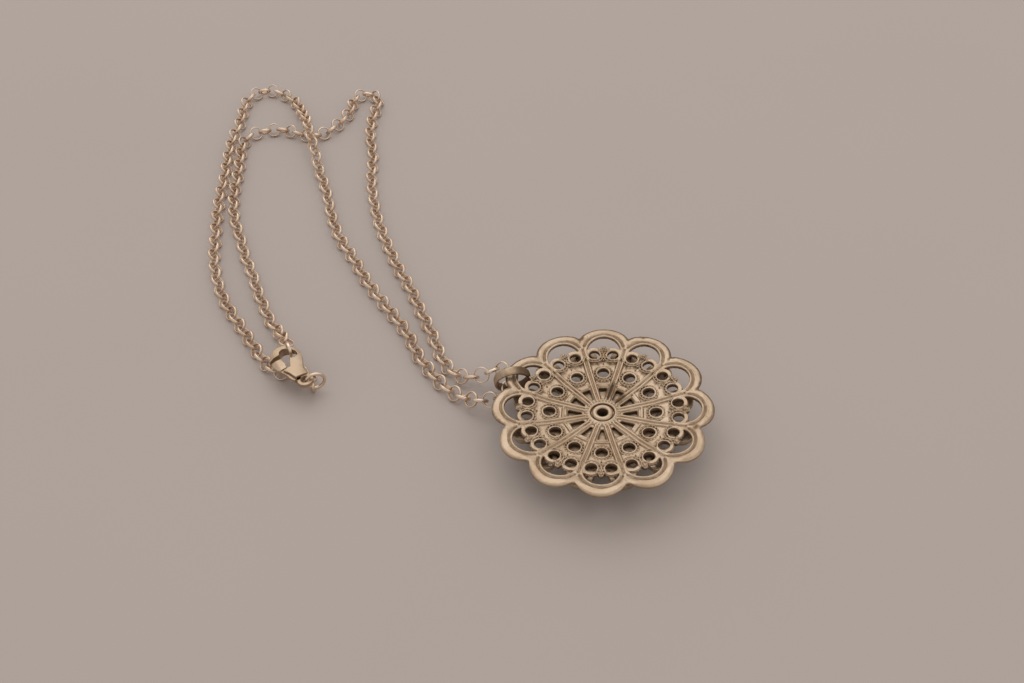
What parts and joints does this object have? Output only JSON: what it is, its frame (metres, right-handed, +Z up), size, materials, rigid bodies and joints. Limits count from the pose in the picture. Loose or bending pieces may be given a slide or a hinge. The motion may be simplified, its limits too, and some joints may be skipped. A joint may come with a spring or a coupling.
{
  "type": "gemstone pendant on a chain",
  "caption": "Round pierced metal pendant with petal rim and round cut stones, lying face down on a fine round-link chain with a bail and a lobster clasp.",
  "frame": {"origin": "on the surface that the pendant lies on, under the centre of the pendant, at the table of its centre stone", "axes": "+Z up from the surface, towards the pendant's back; +X along one petal of the back plate, away from the chain; the chain lies towards -X and +Y"},
  "size_m": [0.1239, 0.147, 0.0107],
  "materials": {
    "pendant_metal": "cast brass with a thin warm silver plate, softly worn, darker in the recesses",
    "setting_metal": "cast brass with a thin warm silver plate, darker and less worn than the back",
    "chain_metal": "thin rolled brass band with a warm silver plate, bright on its edges and brown in the shade",
    "clasp_metal": "smooth cast brass with a warm silver plate, polished by handling",
    "centre_glass": "faceted olive green glass",
    "small_glass": "faceted dark teal glass"
  },
  "bodies": {
    "necklace": {"back_plate": "pendant_metal", "front_plate": "setting_metal", "rivet": "pendant_metal", "centre_stone": "centre_glass", "stone_01": "small_glass", "stone_02": "small_glass", "stone_03": "small_glass", "stone_04": "small_glass", "stone_05": "small_glass", "stone_06": "small_glass", "stone_07": "small_glass", "stone_08": "small_glass", "stone_09": "small_glass", "stone_10": "small_glass", "stone_11": "small_glass", "stone_12": "small_glass", "bail": "chain_metal", "chain_left": "chain_metal", "chain_right": "chain_metal", "clasp_ring": "chain_metal", "clasp_body": "clasp_metal"},
    "lever": {"clasp_lever": "clasp_metal"}
  },
  "joints": [
    {"name": "lever_hinge", "type": "hinge", "parent": "necklace", "child": "lever", "pos_m": [-0.06639, 0.01268, 0.0043], "axis": [0, 0, -1], "range_deg": [0, 16], "stiffness_Nm_per_rad": 0.0005, "springref_deg": -5.73}
  ]
}
